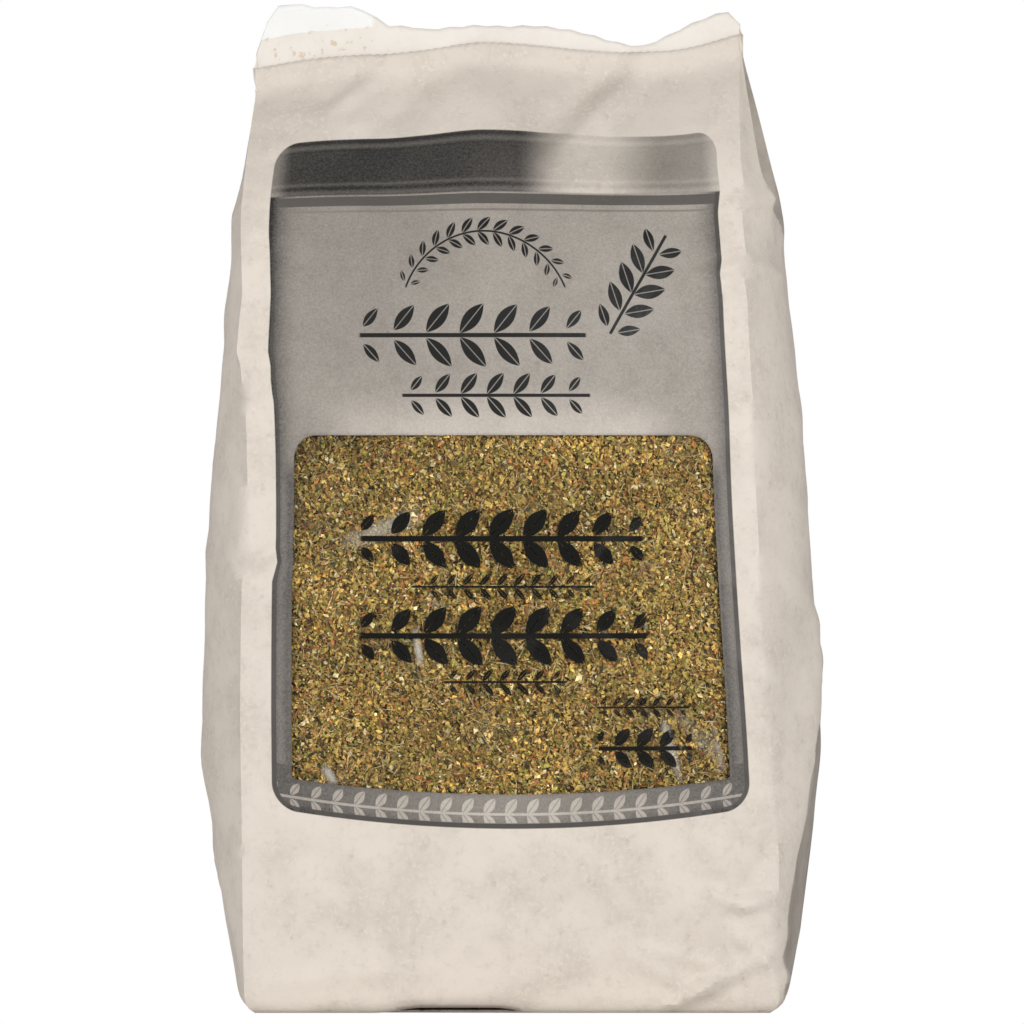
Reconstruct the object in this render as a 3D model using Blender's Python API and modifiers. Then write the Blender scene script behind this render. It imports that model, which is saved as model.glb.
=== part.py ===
"""A side-gusset paper bag of dried marjoram, standing on its folded bottom, with a clear window in front.

Metres, +Z up, the front panel facing -Y, and the origin in the middle of the bottom on the table.
Three separate pieces: the folded paper bag, the clear film behind its window, and the dried herb inside.
"""

import math
import random

import bmesh
import bpy

MM = 0.001

# The bag as it stands, in millimetres
SEAL_HEIGHT = 190.0
SEAL_START = 186.0
WALL = 0.6
FOLDED_PLIES = 0.6
GAP = 0.3
FILM = 0.3
CAVITY_TOP = 178.0
FILL_TOP = 174.0

# The window in the front panel, measured across the flat paper, whose panels are twice PANEL wide
PANEL = 52.0
WINDOW_MIDDLE = 0.5
WINDOW_HALF_WIDTH = 42.6
WINDOW_TOP = 113.4
WINDOW_BOTTOM = 46.2
WINDOW_SAG = 3.0
WINDOW_CORNER = 4.6
FILM_LAP = 4.2

# What centres the settled bag's box on the origin
CENTRE_SHIFT = (0.26, -0.27)

# How many steps each part of a level has
FRONT_STEPS = 14
GUSSET_STEPS = 4

# Profiles by height, in millimetres: (height, value), joined by smooth curves
HALF_WIDTH = [(0, 50.6), (1.2, 51.9), (4, 52.5), (30, 52.6), (50, 52.3), (68, 51.7), (85, 51.0),
              (104, 50.2), (124, 50.0), (147, 49.8), (160, 49.7), (175, 49.1), (189, 48.4)]
HALF_DEPTH = [(0, 23.0), (1.2, 24.6), (4, 25.3), (30, 26.0), (60, 26.0), (105, 25.8), (125, 25.2),
              (140, 23.6), (150, 21.4), (160, 17.6), (170, 11.8), (178, 6.2), (186, 0.8), (200, 0.7)]
PANEL_BULGE = [(0, 0.0), (8, 1.2), (30, 3.4), (60, 4.8), (100, 5.0), (130, 4.4), (152, 3.0), (172, 1.2),
               (186, 0.0)]
GUSSET_SHOULDER = [(0, 0.8), (4, 1.7), (12, 2.8), (21, 4.0), (37, 6.0), (50, 7.0), (80, 7.2), (104, 6.8),
                   (124, 5.6), (147, 4.2), (155, 4.2), (160, 3.4), (166, 2.2), (174, 1.2), (181, 0.4),
                   (186, 0.05), (200, 0.0)]
GUSSET_MIDDLE = [(0, 1.0), (4, 2.2), (12, 3.7), (21, 5.3), (37, 7.9), (50, 9.2), (80, 9.5), (104, 9.0),
                 (124, 7.4), (147, 5.0), (155, 3.8), (158, 0.6), (163, -7.0), (170, -13.0), (175, -15.0),
                 (179, -13.5), (182, -10.0), (184.5, -4.0), (186, 0.1), (200, 0.1)]
LEAN = [(0, 0.3), (30, 0.1), (50, -0.2), (85, -0.7), (124, -0.6), (160, -0.7), (175, -1.8), (189, -3.1)]
TWIST = [(0, 0.02), (50, 0.03), (90, 0.05), (115, 0.07), (130, 0.10), (147, 0.14), (160, 0.18),
         (186, 0.19)]
LEVELS = [0, 1.2, 4, 10, 18, 28, 40, 54, 68, 82, 96, 110, 123, 134, 144, 151, 155, 158, 161, 165, 170, 174,
          CAVITY_TOP, 181.5, 184, SEAL_START, SEAL_HEIGHT]

# Along the sealed top, by distance across: how its edge rises and snakes, and the back ply's lip above it
EDGE_RISE = [(-51, -2.8), (-41, -1.2), (-31, -0.4), (-25, -0.2), (-18, 0.6), (-8, 2.2), (-2, 2.2),
             (6, 1.6), (14, 0.8), (22, 0.4), (34, 1.0), (45, 3.8)]
EDGE_SNAKE = [(-51, 0.8), (-36, -1.3), (-18, -1.0), (0, 1.3), (24, 2.2), (36, 0.4), (46, -1.4)]
LIP_HEIGHT = [(-51, 3.0), (-49.5, 8.0), (-48, 10.6), (-45.6, 11.7), (-38, 10.0), (-31.6, 9.6), (-28, 8.0),
              (-26, 6.1), (-21, 5.2), (-17, 4.1), (-2, 3.4), (4, 4.0), (13, 3.7), (22, 1.8), (26, 1.3),
              (29, 2.4), (36, 4.9), (42.6, 5.3), (44.2, 4.2), (45.4, 1.8)]
LIP_ROOT = 3.0
LIP_STEPS = 34
LIP_SET_BACK = 0.35

# The herb pressed against the window: overlapping flakes, as relief
FLAKE_CELL = 1.9
FLAKE_PITCH = 3.0
FLAKE_DEPTH = 1.6
FLAKE_TILT = 0.42
HERB_MARGIN = 2.4
SLAB_BACK = 8.0

# Colours from the photograph: base colour, roughness, metallic
FINISHES = {
    "paper": ((0.80, 0.745, 0.665), 0.62, 0.0),
    "film": ((0.93, 0.94, 0.92), 0.12, 0.0),
    "herb": ((0.27, 0.215, 0.085), 0.85, 0.0),
}


def curve(keys, at):
    """The value of a smooth curve through the keys, held level past its ends."""
    if at <= keys[0][0]:
        return keys[0][1]
    if at >= keys[-1][0]:
        return keys[-1][1]
    last = len(keys) - 1
    i = max(k for k in range(last) if keys[k][0] <= at)
    (x0, y0), (x1, y1) = keys[i], keys[i + 1]
    before, after = keys[max(i - 1, 0)], keys[min(i + 2, last)]
    span = x1 - x0
    start = (y1 - before[1]) / (x1 - before[0]) * span
    end = (after[1] - y0) / (after[0] - x0) * span
    t = (at - x0) / span
    return (y0 * (2 * t**3 - 3 * t**2 + 1) + start * (t**3 - 2 * t**2 + t)
            + y1 * (3 * t**2 - 2 * t**3) + end * (t**3 - t**2))


def ease(low, high, at):
    """0 below low, 1 above high, and a soft step between them."""
    t = min(max((at - low) / (high - low), 0.0), 1.0)
    return t * t * (3 - 2 * t)


def front_depth(x, z):
    """How far in front of the middle plane the front panel lies, at x from the bag's own centre line."""
    share = min(abs(x) / curve(HALF_WIDTH, z), 1.0)
    return curve(HALF_DEPTH, z) + curve(PANEL_BULGE, z) * (1 - share**2)


def across(u, z):
    """How far across the bag, at one height, a place on the flat paper comes to lie."""
    return u * curve(HALF_WIDTH, z) / PANEL


def settled(x, y, z):
    """A point of the straight bag, in metres, where the leaning bag with its twisted and wavy top has it."""
    along = x + curve(LEAN, z) + curve(TWIST, z) * y
    near_top = ease(148, SEAL_START, z)
    return (
        (along + CENTRE_SHIFT[0]) * MM,
        (y + near_top * curve(EDGE_SNAKE, along) + CENTRE_SHIFT[1]) * MM,
        (z + near_top * curve(EDGE_RISE, along)) * MM,
    )


def mitred(before, corner, after, by):
    """A corner of an anticlockwise outline moved inwards, by the same distance from both of its edges."""
    first = math.dist(before, corner)
    second = math.dist(corner, after)
    nx, ny = (before[1] - corner[1]) / first, (corner[0] - before[0]) / first
    mx, my = (corner[1] - after[1]) / second, (after[0] - corner[0]) / second
    scale = by / (1 + nx * mx + ny * my)
    return corner[0] + (nx + mx) * scale, corner[1] + (ny + my) * scale


def gusset_half(z, thick):
    """Half of the right gusset, thick inside the paper: its front crease, its shoulder and its middle."""
    half, depth = curve(HALF_WIDTH, z), curve(HALF_DEPTH, z)
    crease = (half, -depth)
    shoulder = (half + curve(GUSSET_SHOULDER, z), -depth / 2)
    middle = (half + curve(GUSSET_MIDDLE, z), 0.0)
    behind = (shoulder[0], depth / 2)
    corners = [
        mitred((0.0, -depth), crease, shoulder, thick),
        mitred(crease, shoulder, middle, thick),
        mitred(shoulder, middle, behind, thick),
    ]
    bow = 0.06 * (1 - ease(146, 158, z)) * (middle[0] - half)
    points = []
    for step in range(GUSSET_STEPS + 1):
        s = 2 * step / GUSSET_STEPS
        part = min(int(s), 1)
        (ax, ay), (bx, by) = corners[part], corners[part + 1]
        t = s - part
        points.append((ax + (bx - ax) * t + bow * 4 * t * (1 - t), ay + (by - ay) * t))
    return points


def level(z, thick=0.0):
    """The bag's outline at one height, thick inside the paper: anticlockwise from its front left crease."""
    side = gusset_half(z, thick)
    half = side[0][0]
    places = [half * (2 * i / FRONT_STEPS - 1) for i in range(FRONT_STEPS + 1)]
    front = [(x, thick - front_depth(x * curve(HALF_WIDTH, z) / half, z)) for x in places]
    right = side[1:] + [(x, -y) for x, y in side[-2::-1]]
    back = [(x, -y) for x, y in front[-2::-1]]
    left = [(-x, y) for x, y in right[-2::-1]]
    return front + right + back + left


def inner_face(z):
    """How far inside the bag's face its hollow begins: further where the gussets' plies fold together."""
    return WALL + FOLDED_PLIES * ease(154, 168, z)


def close_end(mesh, ring):
    """Faces over one end of a loft: a strip from front to back, and what is left of each gusset."""
    opposite = 2 * (FRONT_STEPS + GUSSET_STEPS)
    reach = ring[FRONT_STEPS + GUSSET_STEPS].co.x - 1.0
    inside = [i for i in range(FRONT_STEPS + 1) if abs(ring[i].co.x) < reach]
    first, last = inside[0], inside[-1]
    for i in range(first, last):
        mesh.faces.new((ring[i], ring[i + 1], ring[opposite - i - 1], ring[opposite - i]))
    mesh.faces.new(ring[last:opposite - last + 1])
    mesh.faces.new(ring[opposite - first:] + ring[:first + 1])


def loft(name, levels, outline_at):
    """A closed body through the outlines at the given heights."""
    mesh = bmesh.new()
    rings = []
    for z in levels:
        rings.append([mesh.verts.new((x, y, z)) for x, y in outline_at(z)])
    for low, high in zip(rings, rings[1:]):
        for i in range(len(low)):
            j = (i + 1) % len(low)
            mesh.faces.new((low[i], low[j], high[j], high[i]))
    close_end(mesh, rings[0])
    close_end(mesh, rings[-1])
    mesh.normal_update()
    bmesh.ops.triangulate(mesh, faces=[f for f in mesh.faces if len(f.verts) > 4])
    for vert in mesh.verts:
        vert.co = settled(*vert.co)
    return as_object(name, mesh)


def as_object(name, mesh):
    """A new object in the bag's collection holding this bmesh, its faces pointing out."""
    bmesh.ops.recalc_face_normals(mesh, faces=mesh.faces)
    if mesh.calc_volume(signed=True) < 0:
        bmesh.ops.reverse_faces(mesh, faces=mesh.faces)
    data = bpy.data.meshes.new(name)
    mesh.to_mesh(data)
    mesh.free()
    made = bpy.data.objects.new(name, data)
    PARTS.objects.link(made)
    return made


def apply_modifiers(made):
    """The object's mesh as its modifiers leave it."""
    bpy.context.view_layer.update()
    result = bpy.data.meshes.new_from_object(made.evaluated_get(bpy.context.evaluated_depsgraph_get()))
    made.modifiers.clear()
    made.data = result


def solidified(name, mesh, thickness):
    """A sheet given a thickness, half of it on each side."""
    made = as_object(name, mesh)
    ply = made.modifiers.new("Thickness", "SOLIDIFY")
    ply.thickness = thickness * MM
    ply.offset = 0
    apply_modifiers(made)
    return made


def combine(target, other, operation):
    """A Boolean on target, applied, with the other object removed."""
    modifier = target.modifiers.new(operation.title(), "BOOLEAN")
    modifier.object = other
    modifier.operation = operation
    modifier.solver = "EXACT"
    apply_modifiers(target)
    bpy.data.objects.remove(other)


def finish(made, finish_name):
    """The piece's own material, and smooth shading away from its creases."""
    colour, roughness, metallic = FINISHES[finish_name]
    material = bpy.data.materials.new(finish_name)
    material.use_nodes = True
    shader = material.node_tree.nodes["Principled BSDF"]
    shader.inputs["Base Color"].default_value = (*colour, 1)
    shader.inputs["Roughness"].default_value = roughness
    shader.inputs["Metallic"].default_value = metallic
    made.data.materials.clear()
    made.data.materials.append(material)
    made.data.shade_smooth()
    made.data.set_sharp_from_angle(angle=math.radians(32))


def window_box(grow):
    """The window's bounds grown by a margin, on the flat paper: left, bottom, right and top."""
    return (WINDOW_MIDDLE - WINDOW_HALF_WIDTH - grow, WINDOW_BOTTOM - WINDOW_SAG - grow,
            WINDOW_MIDDLE + WINDOW_HALF_WIDTH + grow, WINDOW_TOP + grow)


def window_outline():
    """The window's outline as (x, z) pairs: round top corners and a bottom edge that sags."""
    shoulder = WINDOW_TOP - WINDOW_CORNER
    points = []
    for side, start in ((1, 0), (-1, 90)):
        middle = WINDOW_MIDDLE + side * (WINDOW_HALF_WIDTH - WINDOW_CORNER)
        for turn in range(0, 91, 15):
            angle = math.radians(start + turn)
            points.append((middle + WINDOW_CORNER * math.cos(angle),
                           shoulder + WINDOW_CORNER * math.sin(angle)))
    heights = [z for z in LEVELS if WINDOW_BOTTOM < z < shoulder]
    points += [(WINDOW_MIDDLE - WINDOW_HALF_WIDTH, z) for z in heights[::-1]]
    steps = 12
    for i in range(steps + 1):
        share = 2 * i / steps - 1
        points.append((WINDOW_MIDDLE + share * WINDOW_HALF_WIDTH,
                       WINDOW_BOTTOM - WINDOW_SAG * (1 - share**2)))
    points += [(WINDOW_MIDDLE + WINDOW_HALF_WIDTH, z) for z in heights]
    return [(across(u, z), z) for u, z in points]


def window_cutter():
    """The window's outline pushed through the front wall only."""
    mesh = bmesh.new()
    near, far = -45.0, -14.0
    face = mesh.faces.new([mesh.verts.new(settled(x, near, z)) for x, z in window_outline()])
    pushed = bmesh.ops.extrude_face_region(mesh, geom=[face])
    verts = [v for v in pushed["geom"] if isinstance(v, bmesh.types.BMVert)]
    bmesh.ops.translate(mesh, verts=verts, vec=(0, (far - near) * MM, 0))
    bmesh.ops.triangulate(mesh, faces=mesh.faces)
    return as_object("window_cutter", mesh)


def lip():
    """The back ply's lip, standing above the sealed edge with its own ragged top."""
    mesh = bmesh.new()
    bmesh.ops.create_grid(mesh, x_segments=LIP_STEPS, y_segments=4, size=1)
    half = curve(HALF_WIDTH, SEAL_HEIGHT) - 0.3
    lean = curve(LEAN, SEAL_HEIGHT)
    for vert in mesh.verts:
        x = vert.co.x * half
        up = (vert.co.y + 1) / 2
        z = SEAL_HEIGHT - LIP_ROOT + up * (curve(LIP_HEIGHT, x + lean) + LIP_ROOT)
        vert.co = settled(x, LIP_SET_BACK, z)
    return solidified("lip", mesh, WALL)


def paper_bag():
    """The folded paper: its walls round the hollow, the window cut through, and the sealed top."""
    bag = loft("paper_bag", LEVELS, level)
    inner = [WALL] + [z for z in LEVELS if 2 < z <= CAVITY_TOP]
    cavity = loft("cavity", inner, lambda z: level(z, inner_face(z)))
    combine(bag, cavity, "DIFFERENCE")
    combine(bag, window_cutter(), "DIFFERENCE")
    combine(bag, lip(), "UNION")
    finish(bag, "paper")


def front_patch(columns, rows, margin, behind):
    """A grid over the window and a margin round it, behind(x, z) deep from the front panel's face."""
    mesh = bmesh.new()
    bmesh.ops.create_grid(mesh, x_segments=columns, y_segments=rows, size=1)
    left, bottom, right, top = window_box(margin)
    for vert in mesh.verts:
        z = bottom + (vert.co.y + 1) / 2 * (top - bottom)
        x = across(left + (vert.co.x + 1) / 2 * (right - left), z)
        vert.co = settled(x, behind(x, z) - front_depth(x, z), z)
    return mesh


def window_film():
    """The clear film glued behind the window, lapping past its edge on every side."""
    mesh = front_patch(14, 10, FILM_LAP, lambda x, z: WALL + GAP + FILM / 2)
    film = solidified("window_film", mesh, FILM)
    finish(film, "film")


def scattered_flakes():
    """Seeded leaf flakes over the window: place, half length and width, turn, tilt and depth."""
    draw = random.Random(7)
    left, bottom, right, top = window_box(HERB_MARGIN)
    made = []
    for row in range(int((top - bottom) / FLAKE_PITCH) + 1):
        for column in range(int((right - left) / FLAKE_PITCH) + 1):
            x = left + (column + draw.random()) * FLAKE_PITCH
            z = bottom + (row + draw.random()) * FLAKE_PITCH
            made.append((x, z, draw.uniform(1.8, 3.2), draw.uniform(1.3, 2.1), draw.uniform(0, math.pi),
                         draw.uniform(-FLAKE_TILT, FLAKE_TILT), draw.uniform(0.0, 0.8)))
    return made


def flake_relief(flakes, x, z):
    """How deep the herb's face lies at a point: the topmost tilted flake there, or the bed between them."""
    depth = FLAKE_DEPTH
    for cx, cz, long, wide, turn, tilt, rest in flakes:
        dx, dz = x - cx, z - cz
        if abs(dx) > long or abs(dz) > long:
            continue
        along = dx * math.cos(turn) + dz * math.sin(turn)
        across = dz * math.cos(turn) - dx * math.sin(turn)
        if (along / long) ** 2 + (across / wide) ** 2 <= 1:
            depth = min(depth, max(0.0, rest + along * tilt))
    return depth


def herb_outline(z):
    """The herb's outline inside the bag, its front drawn back behind the film and the deepest flakes."""
    room = GAP + FILM + FLAKE_DEPTH + 0.2
    inside = level(z, inner_face(z) + GAP)
    return [(x, y + room) if i <= FRONT_STEPS else (x, y) for i, (x, y) in enumerate(inside)]


def dried_marjoram():
    """The dried herb that fills the bag, with the flakes behind the window raised from its face."""
    inner = [WALL + GAP] + [z for z in LEVELS if 2 < z <= FILL_TOP]
    herb = loft("dried_marjoram", inner, herb_outline)
    left, bottom, right, top = window_box(HERB_MARGIN)
    flakes = scattered_flakes()
    clear = WALL + GAP + FILM + GAP
    mesh = front_patch(round((right - left) / FLAKE_CELL), round((top - bottom) / FLAKE_CELL), HERB_MARGIN,
                       lambda x, z: clear + flake_relief(flakes, x, z))
    rim = [e for e in mesh.edges if e.is_boundary]
    pushed = bmesh.ops.extrude_edge_only(mesh, edges=rim)["geom"]
    for vert in (item for item in pushed if isinstance(item, bmesh.types.BMVert)):
        vert.co.y = (SLAB_BACK - curve(HALF_DEPTH, WINDOW_TOP)) * MM
    bmesh.ops.contextual_create(mesh, geom=[e for e in mesh.edges if e.is_boundary])
    combine(herb, as_object("flake_slab", mesh), "UNION")
    finish(herb, "herb")


for old in list(bpy.data.objects):
    bpy.data.objects.remove(old)
PARTS = bpy.data.collections.new("marjoram_bag")
bpy.context.scene.collection.children.link(PARTS)
paper_bag()
window_film()
dried_marjoram()
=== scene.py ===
# %% [markdown]
# A paper bag of dried marjoram stands on its folded bottom. Its front has a clear window.
# The rigid model of the bag is loaded first. It gives the size and the frame for everything here:
# metres, +Z up, and -Y out of the front panel. The bag could be dressed by hand in the editor, but a
# script keeps each measure of it in plain sight, and makes the same bag on every run.

# %% Load the frame
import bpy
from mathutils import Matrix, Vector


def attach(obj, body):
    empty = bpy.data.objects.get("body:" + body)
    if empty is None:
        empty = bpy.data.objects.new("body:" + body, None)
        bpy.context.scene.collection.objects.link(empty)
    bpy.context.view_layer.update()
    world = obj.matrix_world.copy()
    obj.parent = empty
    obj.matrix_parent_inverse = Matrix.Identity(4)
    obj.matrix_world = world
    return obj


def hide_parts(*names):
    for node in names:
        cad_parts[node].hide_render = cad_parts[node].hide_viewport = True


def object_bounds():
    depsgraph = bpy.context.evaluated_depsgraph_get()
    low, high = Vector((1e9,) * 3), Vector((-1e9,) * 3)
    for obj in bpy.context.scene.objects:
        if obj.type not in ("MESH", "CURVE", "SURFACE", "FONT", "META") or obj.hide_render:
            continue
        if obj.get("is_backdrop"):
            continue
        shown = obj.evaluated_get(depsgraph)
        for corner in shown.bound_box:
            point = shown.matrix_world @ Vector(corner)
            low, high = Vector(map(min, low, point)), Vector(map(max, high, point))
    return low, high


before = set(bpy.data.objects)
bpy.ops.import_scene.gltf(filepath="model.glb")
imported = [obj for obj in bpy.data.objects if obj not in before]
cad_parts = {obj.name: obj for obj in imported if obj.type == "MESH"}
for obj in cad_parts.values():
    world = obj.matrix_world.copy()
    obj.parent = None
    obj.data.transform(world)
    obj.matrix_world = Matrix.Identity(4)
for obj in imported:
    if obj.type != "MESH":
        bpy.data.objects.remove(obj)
cad_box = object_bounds()
print("the model's box", [tuple(round(v, 4) for v in corner) for corner in cad_box])

# %% Libraries
import math
import random

import bmesh
import bpy
import numpy as np
from mathutils import Vector, noise

MM = 0.001
print("Blender", bpy.app.version_string)

# %% [markdown]
# The photograph is taken straight on, from a little over a metre away, at half the bag's height.
# A long lens from there shows only a sliver of each gusset. The light is large, soft and from the
# front, and everything behind the bag is white. A white wall could stand there, but it would throw
# its own light on the paper. So the sky and the floor are white only where the camera sees them,
# and dimmer for the light that they give.

# %% Camera
CAMERA_DISTANCE = 1.3
CAMERA_HEIGHT = 0.0984
PHOTO_WIDTH = 0.2048

camera = bpy.data.cameras.new("camera")
camera.sensor_width = 36.0
camera.lens = camera.sensor_width * CAMERA_DISTANCE / PHOTO_WIDTH
camera_object = bpy.data.objects.new("camera", camera)
camera_object.location = (0.0, -CAMERA_DISTANCE, CAMERA_HEIGHT)
camera_object.rotation_euler = (math.pi / 2, 0.0, 0.0)
bpy.context.scene.collection.objects.link(camera_object)
bpy.context.scene.camera = camera_object
print("lens", round(camera.lens, 1), "mm")

# %% The sky
AROUND = 0.22
WHITE = (1.0, 1.0, 1.0, 1.0)


def show_camera(tree, lit, seen, output):
    """Shows the camera one shader, and gives the light another."""
    choose = tree.nodes.new("ShaderNodeMixShader")
    camera_ray = tree.nodes.new("ShaderNodeLightPath").outputs["Is Camera Ray"]
    tree.links.new(camera_ray, choose.inputs[0])
    tree.links.new(lit.outputs[0], choose.inputs[1])
    tree.links.new(seen.outputs[0], choose.inputs[2])
    tree.links.new(choose.outputs[0], tree.nodes[output].inputs["Surface"])


bpy.context.scene.view_settings.view_transform = "Standard"
world = bpy.data.worlds.new("studio")
world.use_nodes = True
sky = world.node_tree
lit = sky.nodes["Background"]
seen = sky.nodes.new("ShaderNodeBackground")
for background, strength in ((lit, AROUND), (seen, 1.0)):
    background.inputs["Color"].default_value = WHITE
    background.inputs["Strength"].default_value = strength
show_camera(sky, lit, seen, "World Output")
bpy.context.scene.world = world
print("sky ready")

# %% The floor
FLOOR_RADIUS = 2.5
FLOOR_DROP = 0.0002

mesh = bmesh.new()
bmesh.ops.create_circle(mesh, cap_ends=True, segments=96, radius=FLOOR_RADIUS)
floor_mesh = bpy.data.meshes.new("floor")
mesh.to_mesh(floor_mesh)
mesh.free()
floor = bpy.data.objects.new("floor", floor_mesh)
floor.location.z = -FLOOR_DROP
bpy.context.scene.collection.objects.link(floor)
floor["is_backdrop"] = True
pale = bpy.data.materials.new("pale_floor")
pale.use_nodes = True
table = pale.node_tree
pale_shader = table.nodes["Principled BSDF"]
pale_shader.inputs["Base Color"].default_value = (0.80, 0.80, 0.80, 1.0)
pale_shader.inputs["Roughness"].default_value = 0.9
white = table.nodes.new("ShaderNodeEmission")
white.inputs["Strength"].default_value = 1.0
show_camera(table, pale_shader, white, "Material Output")
floor.data.materials.append(pale)
print("floor ready")

# %% Lamps
AIM = (0.0, 0.0, 0.09)


def soft_light(name, place, size, watts):
    """A square soft box at a place, facing the bag's middle."""
    light = bpy.data.lights.new(name, "AREA")
    light.shape = "SQUARE"
    light.size = size
    light.energy = watts
    lamp = bpy.data.objects.new(name, light)
    lamp.location = place
    lamp.rotation_euler = (Vector(AIM) - Vector(place)).to_track_quat("-Z", "Y").to_euler()
    bpy.context.scene.collection.objects.link(lamp)


soft_light("right_light", (0.66, -1.00, 0.42), size=0.30, watts=8.0)
soft_light("left_light", (-0.96, -0.74, 0.20), size=0.40, watts=5.9)
print("two soft boxes")

# %% [markdown]
# The bag's form repeats the solid model's own measurements. Each profile lists a height and a value
# in millimetres, and a smooth curve joins them: how wide the panels are, how deep the bag is, how
# far the gussets stand out, and how the whole bag leans and twists towards its sealed top. A cloth
# simulation could blow up a flat sack instead, but its folds would fall where they like, and those
# of a filled bag are known: sharp at the panels' edges, and soft over the herb.

# %% The bag's profiles
SEAL_HEIGHT = 190.0
SEAL_START = 186.0
CENTRE_SHIFT = (0.26, -0.27)

HALF_WIDTH = [
    (0, 50.6), (1.2, 51.9), (4, 52.5), (30, 52.6), (50, 52.3), (68, 51.7), (85, 51.0), (104, 50.2),
    (124, 50.0), (147, 49.8), (160, 49.7), (175, 49.1), (189, 48.4),
]
HALF_DEPTH = [
    (0, 23.0), (1.2, 24.6), (4, 25.3), (30, 26.0), (60, 26.0), (105, 25.8), (125, 25.2),
    (140, 23.6), (150, 21.4), (160, 17.6), (170, 11.8), (178, 6.2), (186, 0.8), (200, 0.7),
]
PANEL_BULGE = [
    (0, 0.0), (8, 1.2), (30, 3.4), (60, 4.8), (100, 5.0), (130, 4.4), (152, 3.0), (172, 1.2),
    (186, 0.0),
]
GUSSET_SHOULDER = [
    (0, 0.8), (4, 1.7), (12, 2.8), (21, 4.0), (37, 6.0), (50, 7.0), (80, 7.2), (104, 6.8),
    (124, 5.6), (147, 4.2), (155, 4.2), (160, 3.4), (166, 2.2), (174, 1.2), (181, 0.4), (186, 0.05),
    (200, 0.0),
]
GUSSET_MIDDLE = [
    (0, 1.0), (4, 2.2), (12, 3.7), (21, 5.3), (37, 7.9), (50, 9.2), (80, 9.5), (104, 9.0),
    (124, 7.4), (147, 5.0), (155, 3.8), (158, 0.6), (163, -7.0), (170, -13.0), (175, -15.0),
    (179, -13.5), (182, -10.0), (184.5, -4.0), (186, 0.1), (200, 0.1),
]
LEAN = [
    (0, 0.3), (30, 0.1), (50, -0.2), (85, -0.7), (124, -0.6), (160, -0.7), (175, -1.8), (189, -3.1),
]
TWIST = [
    (0, 0.02), (50, 0.03), (90, 0.05), (115, 0.07), (130, 0.10), (147, 0.14), (160, 0.18),
    (186, 0.19),
]

EDGE_RISE = [
    (-51, -2.8), (-41, -1.2), (-31, -0.4), (-25, -0.2), (-18, 0.6), (-8, 2.2), (-2, 2.2), (6, 1.6),
    (14, 0.8), (22, 0.4), (34, 1.0), (45, 3.8),
]
EDGE_SNAKE = [
    (-51, 0.8), (-36, -1.3), (-18, -1.0), (0, 1.3), (24, 2.2), (36, 0.4), (46, -1.4),
]
LIP_HEIGHT = [
    (-51, 3.0), (-49.5, 8.0), (-48, 10.6), (-45.6, 11.7), (-38, 10.0), (-31.6, 9.6), (-28, 8.0),
    (-26, 6.1), (-21, 5.2), (-17, 4.1), (-2, 3.4), (4, 4.0), (13, 3.7), (22, 1.8), (26, 1.3),
    (29, 2.4), (36, 4.9), (42.6, 5.3), (44.2, 4.2), (45.4, 1.8),
]


def curve(keys, at):
    """The values of a smooth curve through the keys at an array of places, held level past its ends."""
    xs = np.array([key[0] for key in keys], float)
    ys = np.array([key[1] for key in keys], float)
    at = np.clip(at, xs[0], xs[-1])
    last = len(xs) - 1
    i = np.clip(np.searchsorted(xs, at, side="right") - 1, 0, last - 1)
    after = np.minimum(i + 2, last)
    before = np.maximum(i - 1, 0)
    span = xs[i + 1] - xs[i]
    start = (ys[i + 1] - ys[before]) / (xs[i + 1] - xs[before]) * span
    end = (ys[after] - ys[i]) / (xs[after] - xs[i]) * span
    t = (at - xs[i]) / span
    return (ys[i] * (2 * t**3 - 3 * t**2 + 1) + start * (t**3 - 2 * t**2 + t)
            + ys[i + 1] * (3 * t**2 - 2 * t**3) + end * (t**3 - t**2))


def ease(low, high, at):
    """0 at low, 1 at high, and a soft step between them, level past both."""
    t = np.clip((at - low) / (high - low), 0.0, 1.0)
    return t * t * (3 - 2 * t)


def settled(x, y, z):
    """Points of the straight bag moved to where the leaning, twisted bag with its wavy top has them."""
    along = x + curve(LEAN, z) + curve(TWIST, z) * y
    near_top = ease(148, SEAL_START, z)
    return (along + CENTRE_SHIFT[0],
            y + near_top * curve(EDGE_SNAKE, along) + CENTRE_SHIFT[1],
            z + near_top * curve(EDGE_RISE, along))


def front_depth(x, z):
    """How far in front of the middle plane the front lies; above the seal's start its plies run level."""
    z = np.minimum(z, SEAL_START)
    across = np.minimum(np.abs(x) / curve(HALF_WIDTH, z), 1.0)
    return curve(HALF_DEPTH, z) + curve(PANEL_BULGE, z) * (1 - across**2)


print("form ready:", len(HALF_WIDTH) + len(HALF_DEPTH) + len(GUSSET_MIDDLE), "keys")

# %% [markdown]
# A paper sack is one sheet rolled into a tube. So the sheet is made here as one flat grid, whose
# columns run round the bag: front panel, right gusset, back panel, left gusset. The columns are
# closest on the front, which carries the creases that the camera sees. A second set of numbers on
# every point says where it lies on the flat sheet, so that print and creases follow the paper.

# %% Columns and rows of the sheet
PANEL = 52.0
GUSSET = 54.0
FRONT_COLUMNS = 118
GUSSET_COLUMNS = 22
BACK_COLUMNS = 40
ROWS = 208
WALL = 0.22

front_stops = np.linspace(-1, 1, FRONT_COLUMNS + 1)
gusset_stops = np.linspace(0, 1, GUSSET_COLUMNS + 1)[1:]
back_stops = np.linspace(0, 1, BACK_COLUMNS + 1)[1:]
sheet_columns = np.concatenate([
    front_stops * PANEL,
    PANEL + gusset_stops * GUSSET,
    PANEL + GUSSET + back_stops * 2 * PANEL,
    3 * PANEL + GUSSET + gusset_stops * GUSSET,
])
print(len(sheet_columns), "columns round the bag,", ROWS, "rows up it")

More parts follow.
